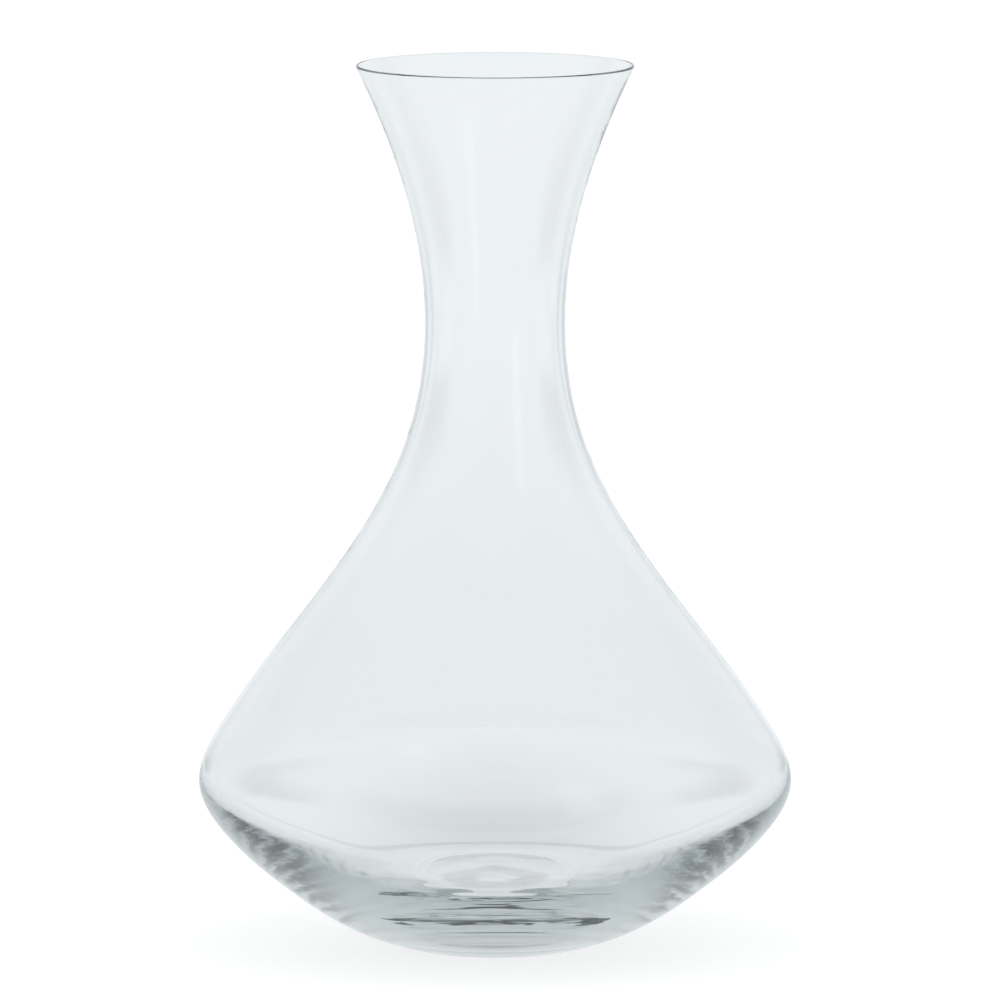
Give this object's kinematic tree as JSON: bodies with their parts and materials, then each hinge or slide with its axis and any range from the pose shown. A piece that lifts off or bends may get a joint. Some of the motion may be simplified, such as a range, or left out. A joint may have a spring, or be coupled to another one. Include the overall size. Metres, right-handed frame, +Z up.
{
  "type": "glass carafe",
  "caption": "Clear glass carafe for wine or water, with a flared mouth, a slim waist, a wide low belly and a heavy solid base on a small foot.",
  "frame": {"origin": "centre of the foot, level with the table it stands on", "axes": "+Z up along the axis of the carafe, from the foot to the mouth; it is round, so X and Y are alike"},
  "size_m": [0.1638, 0.1638, 0.2453],
  "materials": {
    "clear_glass": "clear blown glass, fire-polished all over, with a faint cool grey cast where it is thick"
  },
  "bodies": {
    "root": {"carafe": "clear_glass"}
  },
  "joints": []
}
